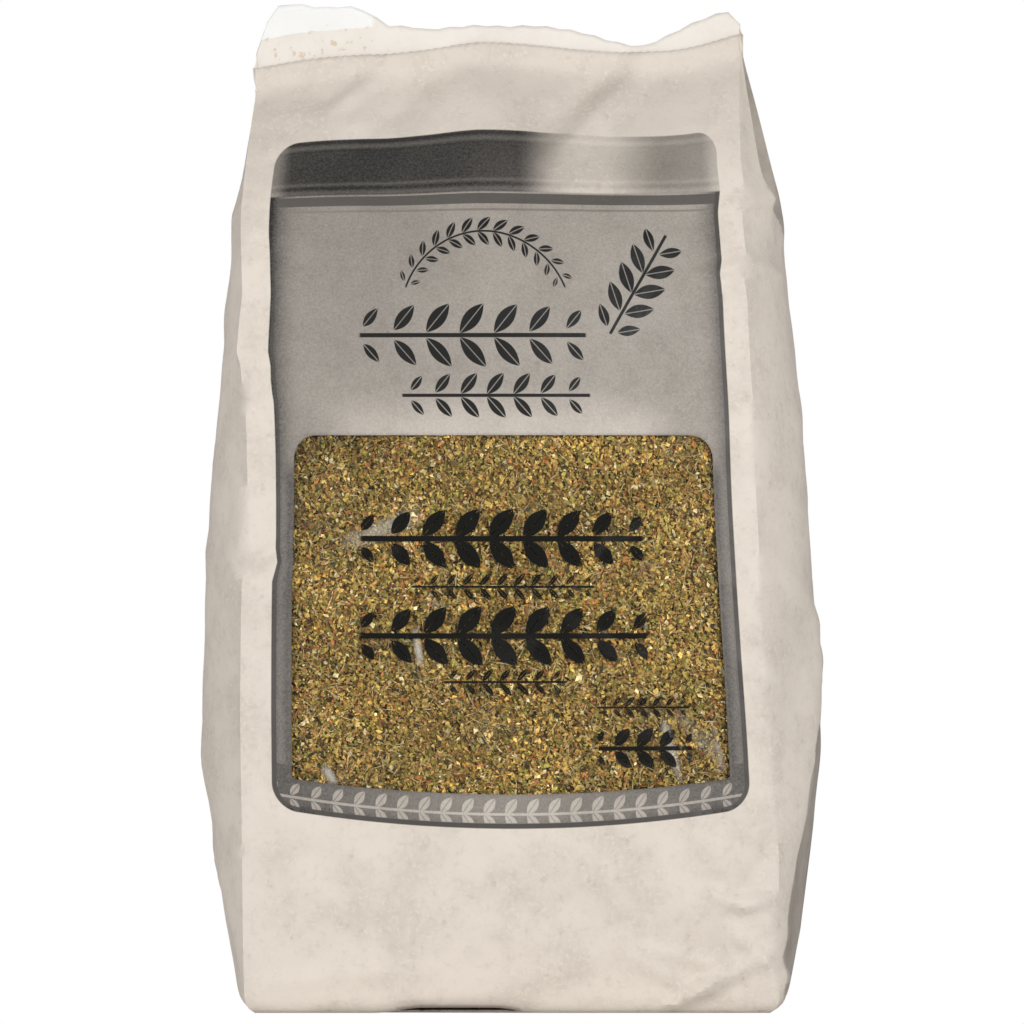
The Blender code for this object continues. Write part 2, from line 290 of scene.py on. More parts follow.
# %% From the flat sheet to the bag
GUSSET_ROUNDNESS = 2.2
FOLDS_FROM, FOLDED_AT = 144, 158


def gusset_path(s, z):
    """The right gusset at s from its front crease, 0, to its back crease, 1: x past the crease, and y."""
    depth = curve(HALF_DEPTH, z)
    middle, shoulder = curve(GUSSET_MIDDLE, z), curve(GUSSET_SHOULDER, z)
    t = 1 - np.abs(2 * s - 1)
    folded = np.where(t < 0.5, shoulder * 2 * t, shoulder + (middle - shoulder) * (2 * t - 1))
    rounded = middle * (1 - (1 - t) ** GUSSET_ROUNDNESS)
    out = rounded + (folded - rounded) * ease(FOLDS_FROM, FOLDED_AT, z)
    return out, depth * (2 * s - 1)


def bag_points(u, z):
    """The smooth bag at sheet place u and height z: x and y in millimetres, and which way it faces."""
    half = curve(HALF_WIDTH, z)
    x, y = np.zeros_like(u), np.zeros_like(u)
    facing = np.zeros((len(u), 3))
    front = u <= PANEL
    right = (u > PANEL) & (u <= PANEL + GUSSET)
    back = (u > PANEL + GUSSET) & (u <= 3 * PANEL + GUSSET)
    left = u > 3 * PANEL + GUSSET
    x[front] = u[front] / PANEL * half[front]
    y[front] = -front_depth(x[front], z[front])
    facing[front] = (0, -1, 0)
    across = (2 * PANEL + GUSSET - u[back]) / PANEL
    x[back] = across * half[back]
    y[back] = front_depth(x[back], z[back])
    facing[back] = (0, 1, 0)
    for part, side, start in ((right, 1, PANEL), (left, -1, 3 * PANEL + GUSSET)):
        s = (u[part] - start) / GUSSET
        out, deep = gusset_path(s, z[part])
        x[part] = side * (half[part] + out)
        y[part] = side * deep
        facing[part] = (side, 0, 0)
    return x, y, facing


middle_x, middle_y, _ = bag_points(np.array([0.0, PANEL + GUSSET / 2]), np.array([60.0, 60.0]))
print("60 mm up, the front lies at y", round(middle_y[0], 1), "and a gusset at x", round(middle_x[1], 1))

# %% [markdown]
# Paper creases sharply and stays flat between its creases. Each crease below is a stroke on the flat
# sheet with a tent-shaped section: two ends, how far it lifts the paper, and how wide its slopes are.
# The first list holds the creases that stand out on the real bag. A seeded scatter of short faint ones
# gives the handled look of thin paper, and slow noise gives the bulges of the herb behind it. Noise
# alone could make the creases too, but it makes dents like those of cloth or clay, with no edges.

# %% Creases
CREASES = [
    ((31, 188.5), (16, 171), 2.0, 4.4), ((27, 189), (12, 174), -1.2, 4.0),
    ((-13, 187), (-25, 172), -1.8, 6.5), ((-23, 188.5), (-31, 182), 2.0, 3.0),
    ((-50, 181), (-30, 176), 0.7, 4.0), ((-6, 183), (6, 172), 0.9, 6.0),
    ((-44, 168), (-22, 162), -0.6, 5.0), ((2, 168), (34, 163), 0.6, 6.0),
    ((-50, 154), (-34, 150), 0.5, 4.0), ((-51, 121.5), (-43, 126), 1.0, 2.6),
    ((-51, 88.6), (-44, 92), 1.2, 2.2), ((-50, 85), (-45, 87), -0.5, 2.2),
    ((-52, 129), (-46, 136), -0.4, 3.0), ((44, 151), (51, 146), 0.6, 2.6),
    ((46, 84), (52, 80), 0.6, 2.4), ((44, 72), (51, 62), 0.8, 3.0), ((24, 11), (32, 6), 0.9, 2.2),
    ((31, 1), (37, 5), 1.6, 2.6), ((37, 5), (45, 9), 1.5, 2.6), ((45, 14.5), (51.5, 9), 1.7, 2.6),
    ((39, 23.8), (44, 21.8), 1.3, 2.1), ((44, 21.8), (48.5, 22.3), 1.2, 2.1),
    ((27, 12.5), (38, 10), 0.8, 2.2), ((-40, 25), (-20, 16), 0.4, 5.0),
    ((8, 30), (36, 20), 0.7, 6.0), ((-46, 40), (-30, 31), 0.5, 4.0), ((38, 34), (50, 18), 1.2, 3.8),
    ((-20, 44), (18, 42), 0.2, 4.0), ((-46, 6), (-20, 9), 0.5, 3.0),
    ((-12, 20), (10, 12), 0.4, 4.0), ((50, 33), (45, 24), -0.5, 2.4),
    ((-36, 12), (-16, 26), -0.4, 4.0), ((2, 6), (22, 14), 0.4, 3.0),
    ((53, 159), (66, 160.5), 1.2, 2.6), ((66, 160.5), (78, 154), 1.1, 2.8),
    ((56, 150), (72, 152), -0.25, 4.0), ((54, 147), (70, 145), 1.1, 2.4),
    ((51, 146.5), (43, 145), 0.8, 2.0), ((62, 84), (76, 76), 0.6, 4.0),
    ((70.5, 68), (58.6, 42), 2.0, 7.0), ((58.6, 42), (53.8, 5), 1.0, 5.5),
    ((57, 112), (80, 118), 0.4, 5.0), ((214, 130), (242, 138), 0.5, 6.0),
    ((236, 92), (258, 87), 0.45, 5.0), ((220, 60), (250, 44), 0.7, 6.0),
    ((246, 30), (260, 14), 0.7, 4.0),
]
SCATTERED_CREASES = 260

draw = random.Random(11)
creases = list(CREASES)
for _ in range(SCATTERED_CREASES):
    u, z = draw.uniform(-52, 264), draw.uniform(2, 186)
    turn, reach = draw.uniform(0, math.pi), draw.uniform(3, 15)
    du, dz = reach * math.cos(turn), reach * math.sin(turn)
    creases.append(((u - du, z - dz), (u + du, z + dz), draw.uniform(-0.16, 0.2), draw.uniform(1.6, 4.5)))
print(len(creases), "creases")

# %% How creases and bulges move the paper


def crease_lift(strokes, u, z):
    """How far some creases lift the sheet at each place of it, in millimetres."""
    lift = np.zeros_like(u)
    for (u0, z0), (u1, z1), height, width in strokes:
        du, dz = u1 - u0, z1 - z0
        length = math.hypot(du, dz)
        along = ((u - u0) * du + (z - z0) * dz) / length
        beside = np.abs((z - z0) * du - (u - u0) * dz) / length
        over = np.maximum(np.maximum(-along, along - length), 0.0)
        lift += height * np.maximum(0.0, 1 - np.hypot(beside, over * 0.5) / width)
    return lift


LEFT_CREASE = [
    (40, 0.0), (60, -0.3), (84.8, -0.3), (88.6, 1.4), (91.5, 0.8), (104, 0.3), (120, 0.0),
    (121.5, -0.4), (127, -0.6), (129.8, -1.3), (136, -0.6), (141, 0.1), (150, 0.0),
]
RIGHT_CREASE = [
    (0, 0.0), (7, 0.0), (11, -0.9), (15, -0.3), (30, 0.0), (70, -0.5), (140, -0.5), (145, -0.9),
    (148, -0.2), (157, -0.8), (161, -0.2), (166, -0.9), (178, -0.9), (187, -0.4),
]
TUBE = 4 * PANEL + 2 * GUSSET
WANDER_ON_FRONT, WANDER_ON_GUSSET = 12, 18


def round_tube(u):
    """Places told from the front's left crease, and on the left gusset from beside its rear crease."""
    return np.where(u > TUBE / 2, u - TUBE + 2 * PANEL, u + PANEL)


def crease_wander(u, z):
    """How far the creases between the panels stray sideways, fading out across the paper beside them."""
    shift = 0.0
    for crease, inwards in ((LEFT_CREASE, round_tube(u)), (RIGHT_CREASE, PANEL - u)):
        fade = (1 - ease(1, WANDER_ON_FRONT, inwards)) * (1 - ease(0, WANDER_ON_GUSSET, -inwards))
        shift = shift + np.interp(z, *np.array(crease).T) * fade
    return shift


def slow_bulges(u, z, size, seed):
    """Soft noise on the sheet, between about -1 and 1, that closes up round the tube."""
    turn = 2 * math.pi / TUBE
    radius = 1 / turn / size
    return np.array([
        noise.noise((radius * math.cos(a * turn), radius * math.sin(a * turn) + seed, b / size))
        for a, b in zip(u, z)])


print("the tube is", TUBE, "mm round")

# %% [markdown]
# The rows stop where each ply was cut: the front ply at the sealed edge, the back ply a little
# higher, where it makes the lip. The window is cut through the front ply, with round top corners
# and a bottom edge that sags in the middle. A Boolean could cut it, but it would leave long thin
# faces round the hole. So whole faces are taken out of the grid, and the points left on the hole's
# rim are drawn to its true outline.

# %% Where the sheet ends, and its window
WINDOW_MIDDLE = 0.5
WINDOW_HALF_WIDTH = 42.6
WINDOW_TOP = 113.4
WINDOW_BOTTOM = 46.2
WINDOW_SAG = 3.0
WINDOW_CORNER = 4.6
LIP_STARTS, LIP_IS_FULL = 0.55, 0.98
TOOTH = 0.14


def sheet_top(u):
    """The height of the sheet's cut edge at each place round the bag, on the straight bag."""
    x = np.where(u <= PANEL, u, np.where(u <= PANEL + GUSSET, PANEL, np.where(
        u <= 3 * PANEL + GUSSET, 2 * PANEL + GUSSET - u, -PANEL)))
    behind = ease(LIP_STARTS, LIP_IS_FULL, np.where(u <= PANEL + GUSSET, (u - PANEL) / GUSSET, np.where(
        u <= 3 * PANEL + GUSSET, 1.0, (3 * PANEL + 2 * GUSSET - u) / GUSSET)))
    half = curve(HALF_WIDTH, np.full_like(u, SEAL_HEIGHT))
    place = x / PANEL * half + curve(LEAN, np.full_like(u, SEAL_HEIGHT))
    teeth = TOOTH * np.where(np.arange(len(u)) % 2 == 0, 1, -1) * (np.abs(x) < PANEL - 1)
    return SEAL_HEIGHT + behind * curve(LIP_HEIGHT, place) + teeth


def window_radius(u, z):
    """Below 0 inside the window and above 0 outside it, in millimetres from its edge."""
    u = u - WINDOW_MIDDLE
    across = np.clip(u / WINDOW_HALF_WIDTH, -1, 1)
    low = WINDOW_BOTTOM - WINDOW_SAG * (1 - across**2)
    side = np.abs(u) - (WINDOW_HALF_WIDTH - WINDOW_CORNER)
    up = z - (WINDOW_TOP - WINDOW_CORNER)
    outside = np.hypot(np.maximum(side, 0), np.maximum(up, 0))
    corner = outside + np.minimum(np.maximum(side, up), 0) - WINDOW_CORNER
    return np.maximum(corner, low - z)


print("window", 2 * WINDOW_HALF_WIDTH, "mm wide and", round(WINDOW_TOP - WINDOW_BOTTOM, 1), "mm tall")

# %% The flat sheet and its window
NUDGE = 0.05
LEAST_STEEP = 0.3
RIM_PASSES = 6

mesh = bmesh.new()
bmesh.ops.create_grid(mesh, x_segments=len(sheet_columns) - 1, y_segments=ROWS, size=1)
grid = np.array([vert.co for vert in mesh.verts])
column = np.rint((grid[:, 0] + 1) / 2 * (len(sheet_columns) - 1)).astype(int)
share = (grid[:, 1] + 1) / 2
sheet_u = sheet_columns[column]
sheet_z = share * sheet_top(sheet_columns)[column]

from_edge = window_radius(sheet_u, sheet_z)
on_front = sheet_u <= PANEL
for vert, u, z in zip(mesh.verts, sheet_u, sheet_z):
    vert.co = (u, 0.0, z)
cut = [face for face in mesh.faces if all(on_front[v.index] for v in face.verts)
       and sum(from_edge[v.index] for v in face.verts) < 0]
bmesh.ops.delete(mesh, geom=cut, context="FACES")
rim = [vert for vert in mesh.verts if vert.is_boundary and abs(vert.co.x) < 50 and 20 < vert.co.z < 150]
for _ in range(RIM_PASSES):
    u = np.array([v.co.x for v in rim])
    z = np.array([v.co.z for v in rim])
    here = window_radius(u, z)
    slope_u = (window_radius(u + NUDGE, z) - window_radius(u - NUDGE, z)) / (2 * NUDGE)
    slope_z = (window_radius(u, z + NUDGE) - window_radius(u, z - NUDGE)) / (2 * NUDGE)
    steep = np.maximum(slope_u**2 + slope_z**2, LEAST_STEEP)
    for vert, mu, mz in zip(rim, here * slope_u / steep, here * slope_z / steep):
        vert.co.x -= mu
        vert.co.z -= mz
print(len(cut), "faces cut away,", len(rim), "points brought to the window's edge")

# %% [markdown]
# The real sheet is folded and glued by a machine and then filled. Here each point of the flat grid is
# moved to its place on the smooth bag, and pushed in or out by the creases and bulges. They die out
# where the real paper is held: along the folds, round the window, at the foot and in the seal. The
# push inwards is kept small, so that the paper stays clear of the herb.

# %% How far the paper stands off its smooth form
BULGES = [(0.55, 26, 3.0), (0.22, 9, 8.0)]
DEEPEST, HIGHEST = -0.6, 2.2
DEEPER_UNDER_SEAL = 0.9
GLUE_LAP = 9.0
GLUE_STEP = 0.2
SEAM = 2 * PANEL + GUSSET


def paper_lift(u, z):
    """How far the sheet stands off the smooth bag at each place, in millimetres."""
    front = u <= PANEL + 1e-6
    gusset = ((u > PANEL) & (u <= PANEL + GUSSET)) | (u > 3 * PANEL + GUSSET)
    lift = crease_lift(creases, u, z)
    for height, size, seed in BULGES:
        lift += height * slow_bulges(u, z, size, seed)
    beside_window = np.abs(window_radius(u, z))
    lift *= np.where(front, 1 - 0.75 * (1 - ease(0, 7, beside_window)), 1)
    to_crease = np.minimum(np.abs(round_tube(u)), np.abs(u - PANEL))
    lift *= ease(0, 2.5, z) * (1 - 0.6 * ease(181, 188, z)) * ease(0, 1.6, to_crease)
    lift *= np.where(gusset, 1 - 0.85 * ease(158, 165, z), 1)
    glued = ease(SEAM - 0.9, SEAM, u) * (1 - ease(SEAM + GLUE_LAP, SEAM + GLUE_LAP + 1, u))
    lift += np.where(~front & ~gusset, GLUE_STEP * glued, 0)
    under_seal = ease(172, 178, z) * (1 - ease(183, 188, z))
    return np.clip(lift, DEEPEST - np.where(front, DEEPER_UNDER_SEAL * under_seal, 0), HIGHEST)


print("the paper stands out by up to", HIGHEST, "mm")

# %% Fold the sheet into the bag
FRONT_PLY_IN = 0.16
BACK_PLY_IN = 0.35
LIP_BEND = 0.30
LIP_BENDS_FROM = 4.6
FOOT_RISE = 1.0

sheet_u = np.array([v.co.x for v in mesh.verts])
sheet_z = np.array([v.co.z for v in mesh.verts])
x, y, facing = bag_points(sheet_u, sheet_z)
lift = paper_lift(sheet_u, sheet_z)
wander = crease_wander(sheet_u, sheet_z)
outwards = np.maximum(lift + facing[:, 0] * wander, DEEPEST)
beside = np.abs(facing[:, 0]) > 0.5
x += np.where(beside, facing[:, 0] * outwards, wander)
y += facing[:, 1] * lift
on_front = sheet_u <= PANEL + 1e-6
behind = (sheet_u > PANEL + GUSSET) & (sheet_u <= 3 * PANEL + GUSSET)
plies = ease(SEAL_START - 6, SEAL_START, sheet_z)
y += np.where(on_front, FRONT_PLY_IN * plies, 0)
y -= np.where(behind, BACK_PLY_IN * plies, 0)
above_seal = np.maximum(sheet_z - SEAL_HEIGHT - LIP_BENDS_FROM, 0)
y -= np.where(behind, LIP_BEND * above_seal * ease(-24, -30, x), 0)
x, y, z = settled(x, y, sheet_z)
raised = ease(-28, -18, sheet_u) * ease(6, -4, sheet_u) * (1 - ease(0, 5, sheet_z))
z += np.where(on_front, FOOT_RISE * raised, 0)

first = np.flatnonzero(sheet_u == sheet_columns[0])
final = np.flatnonzero(sheet_u == sheet_columns[-1])
for coordinate in (x, y, z):
    coordinate[final] = coordinate[first]
print("seam of", len(first), "points closed")

# %% Its flat places, its points and its foot
FLAT_UNIT = 100.0
DOUBLES = 0.00002


def mark_flat(mesh, u, z):
    """Writes each point's place on the flat sheet into a UV map, in units of FLAT_UNIT millimetres."""
    uv = mesh.loops.layers.uv.new("sheet")
    mesh.verts.index_update()
    for face in mesh.faces:
        for loop in face.loops:
            i = loop.vert.index
            loop[uv].uv = (u[i] / FLAT_UNIT, z[i] / FLAT_UNIT)


mark_flat(mesh, sheet_u, sheet_z)
for vert, px, py, pz in zip(mesh.verts, x, y, z):
    vert.co = Vector((px, py, pz)) * MM
bmesh.ops.remove_doubles(mesh, verts=mesh.verts, dist=DOUBLES)
foot = [edge for edge in mesh.edges if edge.is_boundary and max(v.co.z for v in edge.verts) < 0.0005]
bmesh.ops.contextual_create(mesh, geom=foot)
print(len(mesh.faces), "faces, and", len(foot), "edges round the foot")

# %% The folded bag
SHARP_CREASE = math.radians(38)


def as_piece(name, mesh, node):
    """A finished piece of the bag, which replaces its plain solid where one is named."""
    data = bpy.data.meshes.new(name)
    mesh.to_mesh(data)
    mesh.free()
    piece = bpy.data.objects.new(name, data)
    bpy.context.scene.collection.objects.link(piece)
    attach(piece, "root")
    if node:
        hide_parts(node)
    return piece


bag = as_piece("folded_bag", mesh, "paper_bag")
bag.data.shade_smooth()
bag.data.set_sharp_from_angle(angle=SHARP_CREASE)
wall = bag.modifiers.new("Wall", "SOLIDIFY")
wall.thickness = WALL * MM
wall.offset = -1
print(bag.name, "has a wall of", WALL, "mm")

# %% [markdown]
# Materials are node trees. They could be built by hand, but a label of leaves takes hundreds of nodes.
# This small class lets shader sums be written as Python: it wraps a socket, and each operator adds the
# Math node that it stands for. Colours are mixed with Mix nodes.

# %% Shader helper


class Wire:
    """A node's output socket, on which arithmetic adds Math nodes."""

    def __init__(self, tree, socket):
        self.tree = tree
        self.socket = socket

    def node(self, kind, settings=None, inputs=None, output=0):
        """Adds any node to the same tree and returns the wire of one of its outputs."""
        made = self.tree.nodes.new(kind)
        for name, value in (settings or {}).items():
            if name == "stops":
                ramp = made.color_ramp
                while len(ramp.elements) < len(value):
                    ramp.elements.new(0.5)
                for element, (place, colour) in zip(ramp.elements, value):
                    element.position = place
                    element.color = (*colour, 1.0)
            else:
                setattr(made, name, value)
        for name, value in (inputs or {}).items():
            if isinstance(value, Wire):
                self.tree.links.new(value.socket, made.inputs[name])
            else:
                made.inputs[name].default_value = value
        return Wire(self.tree, made.outputs[output])

    def math(self, operation, other=0.0, third=0.0):
        """A Math node on this wire and up to two others."""
        return self.node("ShaderNodeMath", {"operation": operation}, {0: self, 1: other, 2: third})

    def __add__(self, other):
        return self.math("ADD", other)

    def __radd__(self, other):
        return self.math("ADD", other)

    def __sub__(self, other):
        return self.math("SUBTRACT", other)

    def __rsub__(self, other):
        return self.node("ShaderNodeMath", {"operation": "SUBTRACT"}, {0: other, 1: self})

    def __mul__(self, other):
        return self.math("MULTIPLY", other)

    def __rmul__(self, other):
        return self.math("MULTIPLY", other)

    def __truediv__(self, other):
        return self.math("DIVIDE", other)

    def low(self, other):
        return self.math("MINIMUM", other)

    def high(self, other):
        return self.math("MAXIMUM", other)

    def size(self):
        return self.math("ABSOLUTE")

    def step(self, start, end, low=0.0, high=1.0):
        """A soft step from low at start to high at end."""
        return self.node("ShaderNodeMapRange", {"interpolation_type": "SMOOTHSTEP"}, {
            "Value": self, "From Min": start, "From Max": end, "To Min": low, "To Max": high})

    def mix(self, first, second):
        """Colour first where this wire is 0, and second where it is 1."""
        return self.node("ShaderNodeMix", {"data_type": "RGBA"}, {0: self, 6: first, 7: second}, output=2)


def new_material(name):
    """An empty material: its shader node, and a wire of its object coordinates."""
    material = bpy.data.materials.new(name)
    material.use_nodes = True
    tree = material.node_tree
    shader = tree.nodes["Principled BSDF"]
    place = Wire(tree, tree.nodes.new("ShaderNodeTexCoord").outputs["Object"])
    return material, tree, shader, place


def plug(tree, wire, shader, name):
    """Links a wire to one of the shader's sockets."""
    tree.links.new(wire.socket, shader.inputs[name])


def rgb(red, green, blue):
    """A colour as a node socket takes it."""
    return (red, green, blue, 1.0)


def noise_at(place, scale, detail, roughness=0.5):
    """A Noise Texture's value at a place."""
    return place.node("ShaderNodeTexNoise", inputs={
        "Vector": place, "Scale": scale, "Detail": detail, "Roughness": roughness})


def flat_place(tree):
    """The two coordinates of the flat sheet, in millimetres, from a piece's own UV map."""
    sheet = Wire(tree, tree.nodes.new("ShaderNodeUVMap").outputs["UV"])
    sheet.socket.node.uv_map = "sheet"
    separate = sheet.node("ShaderNodeSeparateXYZ", inputs={0: sheet})
    return separate * FLAT_UNIT, Wire(tree, separate.socket.node.outputs["Y"]) * FLAT_UNIT


print("shader helper ready")

# %% [markdown]
# The bag's paper is thin, bleached on one side and unevenly see-through: the herb behind it shows as
# warm grey clouds and specks. A photograph of paper could be wrapped round it, but noise of several
# sizes gives the same mottle at any distance, and has no seam where the sheet closes. Painted shade
# darkens the paper towards the top of the bag, and on the rear half of the right gusset, low down and
# near its top.

# %% The paper
paper, tree, shader, place = new_material("printed_paper")
u_mm, v_mm = flat_place(tree)

clouds = noise_at(place, 70.0, 6.0, 0.72)
specks = noise_at(place, 560.0, 3.0, 0.6)
flecks = noise_at(place, 1150.0, 2.0, 0.6)
fibres = noise_at(place, 1500.0, 3.0, 0.6)
stain = clouds.step(0.38, 0.66)
dust = specks.step(0.54, 0.74)
bare = (stain * 0.85 + dust * 0.26).mix(rgb(0.80, 0.72, 0.635), rgb(0.665, 0.595, 0.52))
# painted shade: the paper is darker towards the top of the bag
bare = (v_mm.step(160.0, 178.0) * 0.34).mix(bare, rgb(0.62, 0.555, 0.485))
warm = flecks.step(0.50, 0.68) * (clouds + specks * 0.6).step(0.68, 0.90)
bare = (warm * 0.42).mix(bare, rgb(0.89, 0.79, 0.66))
brown = specks.step(0.64, 0.76) * clouds.step(0.50, 0.64)
bare = (brown * 0.35).mix(bare, rgb(0.56, 0.44, 0.33))
# painted shade: the rear half of the right gusset is painted darker low down and near its top, where it
# turns away into the fold
ridge = v_mm.step(3.0, 44.0, 53.4, 58.8) + v_mm.step(40.0, 68.0, 0.0, 12.0)
low_gusset_shade = (u_mm - ridge).step(-0.2, 0.6) * u_mm.step(112.0, 100.0)
low_gusset_shade = low_gusset_shade * v_mm.step(74.0, 60.0) * v_mm.step(1.0, 5.0)
high_gusset_shade = u_mm.step(78.6, 79.4) * u_mm.step(107.0, 105.8) * v_mm.step(150.0, 157.0)
painted_gusset_shade = low_gusset_shade.high(high_gusset_shade)
bare = (painted_gusset_shade * (0.72 + stain * 0.28)).mix(bare, rgb(0.36, 0.315, 0.27))
print("paper mottle ready")

# %% [markdown]
# The label is black ink laid thinly, so it is a grey that lets the paper's mottle through. It is a
# panel with round corners and a darker edge, with a dark band across its top and a row of leaves along
# its foot. An image could hold it, but here its outline is a sum on the flat sheet's coordinates: how
# far each place lies outside a round-cornered box. Such a sum stays sharp however close one looks, and
# the ink bends with the paper's creases.

# %% The label's outline
LABEL_LEFT = -46.0
LABEL_RIGHT = 46.9
LABEL_TOP = 172.6
LABEL_FOOT = 36.5
BAND_FOOT = 161.0
label_middle = (LABEL_LEFT + LABEL_RIGHT) / 2
label_half = (LABEL_RIGHT - LABEL_LEFT) / 2


def round_box(u, v, middle_u, middle_v, half_u, half_v, corner):
    """How far outside a box with round corners each place is, in millimetres, and below 0 inside it."""
    du = (u - middle_u).size() - (half_u - corner)
    dv = (v - middle_v).size() - (half_v - corner)
    outside = du.high(0.0) * du.high(0.0) + dv.high(0.0) * dv.high(0.0)
    return outside.math("SQRT") + du.high(dv).low(0.0) - corner


sag = (u_mm - label_middle) / label_half
sag = (1.0 - sag * sag) * 4.0
lower = v_mm + sag * v_mm.step(120.0, 60.0)
field = round_box(u_mm, lower, label_middle, (LABEL_TOP + LABEL_FOOT + 4.0) / 2, label_half,
                  (LABEL_TOP - LABEL_FOOT - 4.0) / 2, 5.0)
field_ink = field.step(0.12, -0.12)
print("label", LABEL_RIGHT - LABEL_LEFT, "mm wide")

# %% [markdown]
# The ornaments are all made of one motif: a leaf with a light midrib, repeated along a stem, large
# or small. Each leaf could be placed by hand, but repeating the coordinate along the stem repeats the
# leaf as well. The function draws such a twig on any two coordinates, so the same one serves the paper
# above the window, the row along the label's foot, an arch, and the print on the film.

# %% The twig motif


def twig(u, v, middle, reach, pitch, leaf, offset, slant, stem):
    """Ink of a twig of paired leaves along v = 0, centred on middle and reach long each way.

    pitch is the step from leaf to leaf, leaf is half a leaf's length and half its width, offset is how
    far its middle lies from the stem, slant is its angle from square in radians, and stem is half the
    stem's width.
    """
    half_length, half_width = leaf
    from_middle = u - middle
    side = from_middle / reach
    taper = (side * side).math("MULTIPLY_ADD", -0.75, 1.0).high(0.05).math("SQRT")
    along_stem = from_middle.math("MULTIPLY_ADD", 1 / pitch, 0.5).math("FRACT")
    along_stem = along_stem.math("MULTIPLY_ADD", pitch, -pitch / 2)
    from_stem = v.size()
    away = from_stem - offset
    along = along_stem * math.cos(slant) + away * math.sin(slant)
    across = (away * math.cos(slant) - along_stem * math.sin(slant)).size()
    along = along / taper.math("MULTIPLY_ADD", half_length, 0.01)
    blade = across - (along * along).math("MULTIPLY_ADD", -half_width, half_width) * taper
    blades = blade.step(0.09, -0.09) * across.step(0.06, 0.15, 0.30, 1.0)
    line = from_stem.step(stem + 0.08, stem - 0.08)
    return blades.high(line) * side.size().step(1.02, 0.99)


print("twig motif ready")

# %% Ink on the label
upper = twig(u_mm, v_mm - 133.0, middle=-4.6, reach=23.0, pitch=7.0, leaf=(3.9, 1.6), offset=3.3,
             slant=0.85, stem=0.42)
lower_twig = twig(u_mm, v_mm - 121.2, middle=-0.4, reach=19.0, pitch=5.4, leaf=(2.8, 1.15), offset=2.3,
                  slant=0.85, stem=0.32)

ARCH_U, ARCH_V = -1.6, 136.0
ARCH_RADIUS = 17.5
arch_u, arch_v = u_mm - ARCH_U, v_mm - ARCH_V
from_centre = (arch_u * arch_u + arch_v * arch_v).math("SQRT")
arch_angle = arch_u.math("ARCTAN2", arch_v)
arch = twig(arch_angle * ARCH_RADIUS, from_centre - ARCH_RADIUS, middle=0.0, reach=20.8, pitch=3.2,
            leaf=(1.8, 0.75), offset=1.4, slant=0.8, stem=0.18)

SPRIG_U, SPRIG_V = 29.5, 143.0
SPRIG_TURN = math.radians(58)
sprig_u, sprig_v = u_mm - SPRIG_U, v_mm - SPRIG_V
sprig = twig(sprig_u * math.cos(SPRIG_TURN) + sprig_v * math.sin(SPRIG_TURN),
             sprig_v * math.cos(SPRIG_TURN) - sprig_u * math.sin(SPRIG_TURN),
             middle=0.0, reach=11.4, pitch=4.6, leaf=(3.3, 1.4), offset=2.7, slant=0.85, stem=0.30)

FOOT_BAND = 44.6
FOOT_BAND_HALF = 4.9
foot_row = twig(u_mm, lower - 43.3, middle=label_middle, reach=60.0, pitch=4.2, leaf=(1.9, 0.95),
                offset=1.55, slant=0.95, stem=0.26)
from_band = (lower - FOOT_BAND).size()
foot_band = from_band.step(FOOT_BAND_HALF, FOOT_BAND_HALF - 0.2)
foot_lines = (from_band - FOOT_BAND_HALF + 0.3).size().step(0.42, 0.2)
print("twigs, arch and sprig")

# %% Greys of the label's panel
edge_shade = ((field + 6.5) / 6.5).high(0.0)
edge_shade = edge_shade * edge_shade
rim_line = field.size().step(1.3, 0.9)
inner_line = ((field + 2.4).size()).step(0.26, 0.14)
haze = noise_at(place, 16.0, 2.0)
dots = noise_at(place, 2400.0, 1.0)
beside_window = ((u_mm - WINDOW_MIDDLE).size() - WINDOW_HALF_WIDTH).step(2.6, 0.4)
beside_window = beside_window * v_mm.step(110.0, 104.0)
grey = 0.52 + edge_shade * 0.40 + (haze - 0.5) * 0.36 + (dots - 0.5) * 0.24
grey = grey + v_mm.step(118.0, 160.0) * u_mm.step(6.0, -40.0) * 0.14 + beside_window * 0.24
above_window = v_mm.step(124.0, 115.0) * v_mm.step(112.0, 113.5)
grey = grey - above_window * (u_mm - 0.5).size().step(40.0, 24.0) * 0.24
foot_shade = 0.62 + ((u_mm - label_middle).size() / label_half) * 0.26 + (lower.step(43.0, 39.5)) * 0.16
foot_grey = foot_shade - foot_row * 0.38 + (dots - 0.5) * 0.22
grey = grey + foot_band * (foot_grey - grey)
grey = grey.high(rim_line * 0.92).high(inner_line * 0.62 * (1.0 - foot_band)).high(foot_lines * 0.86)
print("panel's greys ready")

# %% The dark band across its top
sheen = (u_mm - 20.0) / 16.0
sheen = (1.0 - sheen * sheen).high(0.0)
sheen = sheen * sheen.step(0.0, 1.0)
across_band = (v_mm - (BAND_FOOT + LABEL_TOP) / 2) / (LABEL_TOP - BAND_FOOT) * 2
ends = (u_mm - label_middle).size().step(label_half - 4.0, label_half)
far_end = u_mm.step(22.0, 33.0)
band_grey = 0.95 - sheen * 0.80 - ends * 0.26 - (haze - 0.5) * 0.3 - (1.0 - sheen) * far_end * 0.30
band_rim = across_band.size().step(0.48, 0.62)
lines = (across_band * 19.0).math("SINE") * band_rim
band_grey = band_grey - (lines * 0.5 + 0.3) * band_rim * 0.12 + (dots - 0.5) * 0.16
band = v_mm.step(BAND_FOOT - 0.2, BAND_FOOT + 0.2)
grey = grey + band * (band_grey - grey)
below_band = (v_mm - BAND_FOOT + 1.3).size().step(1.2, 0.9) * 0.88
grey = grey.high(below_band).high((v_mm - BAND_FOOT + 3.4).size().step(0.35, 0.18) * 0.7)
black = upper.high(lower_twig).high(arch).high(sprig)
ink = field_ink * grey.high(black).high(0.0).low(1.0)
print("label ink ready")
